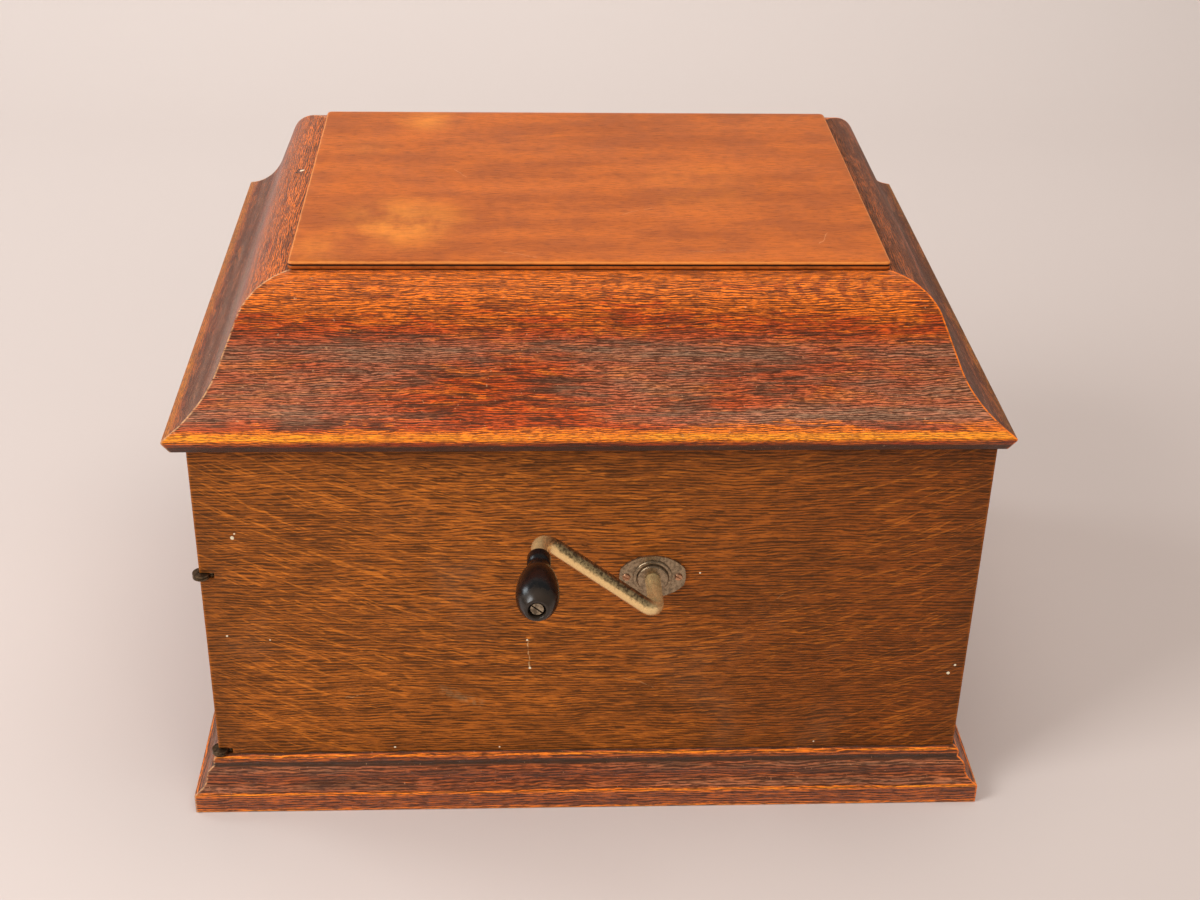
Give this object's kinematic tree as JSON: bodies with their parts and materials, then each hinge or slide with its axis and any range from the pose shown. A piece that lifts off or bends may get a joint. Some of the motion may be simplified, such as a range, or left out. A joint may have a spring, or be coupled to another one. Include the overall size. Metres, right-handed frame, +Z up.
{
  "type": "tabletop gramophone",
  "caption": "Spring-wound tabletop gramophone in an oak case with an ogee lid, a side crank, a turntable and tonearm under the lid and a horn behind two doors.",
  "frame": {"origin": "middle of the underside of the base moulding", "axes": "+Z up, +X towards the crank side, -Y towards the front with the doors, +Y towards the lid hinges"},
  "size_m": [0.5328, 0.5244, 0.3624],
  "materials": {
    "oak_panel": "old stained oak, satin varnish",
    "oak_dark": "dark red-brown stained oak, satin varnish",
    "top_wood": "stained hardwood board, worn satin varnish",
    "bare_wood": "plain inner wood, thin varnish",
    "nickel": "tarnished nickel plate",
    "bronze": "dull bronzed nickel",
    "brass": "aged brass",
    "copper": "coppery brass screw",
    "steel": "plain steel",
    "iron": "black japanned cast iron",
    "black_wood": "glossy black lacquer",
    "felt": "green felt",
    "fibre": "brown fibre",
    "mica": "clear mica sheet"
  },
  "bodies": {
    "case": {"base_moulding": "oak_dark", "side_panel_right": "oak_panel", "side_panel_left": "oak_panel", "back_panel": "oak_panel", "front_rail": "oak_panel", "bottom_board": "bare_wood", "motor_board": "bare_wood", "board_cleats": "bare_wood", "horn": "bare_wood", "horn_mouth_frame": "bare_wood", "horn_elbow": "iron", "tonearm_bracket": "nickel", "board_screws": "brass", "motor_top_plate": "iron", "motor_bottom_plate": "iron", "motor_pillars": "steel", "shaft_bearings": "brass", "backstop_spring": "steel", "escutcheon": "bronze", "escutcheon_screws": "copper", "door_hinge_plates": "brass", "lid_hinge_plates": "brass", "lid_stay_guide": "brass", "needle_cups": "brass", "regulator_dial": "nickel"},
    "lid": {"lid_moulding": "oak_dark", "lid_top_board": "top_wood", "lid_hinge_leaves": "brass", "lid_stay": "brass"},
    "right_door": {"door_right": "oak_panel", "door_knob_right": "brass", "door_pivots_right": "brass"},
    "left_door": {"door_left": "oak_panel", "door_knob_left": "brass", "door_pivots_left": "brass"},
    "crank": {"crank_rod": "nickel", "crank_knob_screw": "steel", "winding_shaft": "steel"},
    "knob": {"crank_knob": "black_wood"},
    "winding_train": {"winding_wheel": "brass"},
    "platter": {"turntable": "nickel", "turntable_felt": "felt", "spindle": "steel", "worm_wheel": "fibre"},
    "intermediate": {"intermediate_gear": "brass"},
    "barrel": {"spring_barrel": "brass", "mainspring": "steel"},
    "governor": {"governor_shaft": "steel", "governor_weights": "steel"},
    "yoke": {"tonearm_yoke": "nickel"},
    "arm": {"tonearm": "nickel"},
    "reproducer": {"sound_box_neck": "nickel", "sound_box": "nickel", "diaphragm": "mica", "stylus_bar": "steel", "needle": "steel"},
    "thumb_screw": {"needle_screw": "brass"},
    "brake": {"brake_lever": "nickel"},
    "regulator": {"regulator_arm": "nickel"},
    "friction": {"friction_lever": "steel"}
  },
  "joints": [
    {"name": "lid_hinge", "type": "hinge", "parent": "case", "child": "lid", "pos_m": [0, 0.2492, 0.2654], "axis": [-1, 0, 0], "range_deg": [0, 60]},
    {"name": "right_door_hinge", "type": "hinge", "parent": "case", "child": "right_door", "pos_m": [0.197, -0.244, 0.1], "axis": [0, 0, 1], "range_deg": [0, 165]},
    {"name": "left_door_hinge", "type": "hinge", "parent": "case", "child": "left_door", "pos_m": [-0.197, -0.244, 0.1], "axis": [0, 0, -1], "range_deg": [0, 165]},
    {"name": "crank_turn", "type": "hinge", "parent": "case", "child": "crank", "pos_m": [0.1985, 0.0371, 0.1755], "axis": [1, 0, 0], "continuous": true},
    {"name": "knob_spin", "type": "hinge", "parent": "crank", "child": "knob", "pos_m": [0.2395, -0.03439, 0.23115], "axis": [0.999, -0.0344, 0.0268], "continuous": true},
    {"name": "winding_wheel_turn", "type": "hinge", "parent": "case", "child": "winding_train", "pos_m": [0.00343, 0.0371, 0.16], "axis": [0, 0, 1], "continuous": true},
    {"name": "turntable_spin", "type": "hinge", "parent": "case", "child": "platter", "pos_m": [0, -0.04, 0.24], "axis": [0, 0, 1], "continuous": true},
    {"name": "intermediate_spin", "type": "hinge", "parent": "case", "child": "intermediate", "pos_m": [-0.04229, -0.02461, 0.16], "axis": [0, 0, 1], "continuous": true},
    {"name": "barrel_spin", "type": "hinge", "parent": "case", "child": "barrel", "pos_m": [0.00343, 0.0371, 0.14], "axis": [0, 0, 1], "continuous": true},
    {"name": "governor_spin", "type": "hinge", "parent": "case", "child": "governor", "pos_m": [0, -0.063, 0.167], "axis": [1, 0, 0], "continuous": true},
    {"name": "tonearm_swing", "type": "hinge", "parent": "case", "child": "yoke", "pos_m": [0.1, 0.15, 0.24], "axis": [0, 0, -1], "range_deg": [0, 30]},
    {"name": "tonearm_lift", "type": "hinge", "parent": "yoke", "child": "arm", "pos_m": [0.1, 0.15, 0.282], "axis": [-0.9942, -0.108, 0], "range_deg": [0, 5]},
    {"name": "sound_box_turn", "type": "hinge", "parent": "arm", "child": "reproducer", "pos_m": [0.1, 0.15, 0.282], "axis": [0.108, -0.9942, 0], "range_deg": [0, 150]},
    {"name": "needle_screw_turn", "type": "hinge", "parent": "reproducer", "child": "thumb_screw", "pos_m": [0.14653, -0.0561, 0.25475], "axis": [0.9942, 0.108, 0], "range_deg": [0, 360]},
    {"name": "brake_swing", "type": "hinge", "parent": "case", "child": "brake", "pos_m": [-0.10478, -0.13435, 0.225], "axis": [0, 0, -1], "range_deg": [0, 18]},
    {"name": "regulator_turn", "type": "hinge", "parent": "case", "child": "regulator", "pos_m": [0.1285, -0.151, 0.225], "axis": [0, 0, 1], "range_deg": [0, 60]},
    {"name": "friction_lever_swing", "type": "hinge", "parent": "case", "child": "friction", "pos_m": [0.088, -0.088, 0.167], "axis": [0, 0, 1], "range_deg": [-1.3, 0]}
  ],
  "couplings": [
    {"joint": "winding_wheel_turn", "follows": "crank_turn", "ratio": 0.4},
    {"joint": "intermediate_spin", "follows": "turntable_spin", "ratio": -0.2},
    {"joint": "barrel_spin", "follows": "turntable_spin", "ratio": 0.04},
    {"joint": "governor_spin", "follows": "turntable_spin", "ratio": -24},
    {"joint": "friction_lever_swing", "follows": "regulator_turn", "ratio": -0.02}
  ]
}
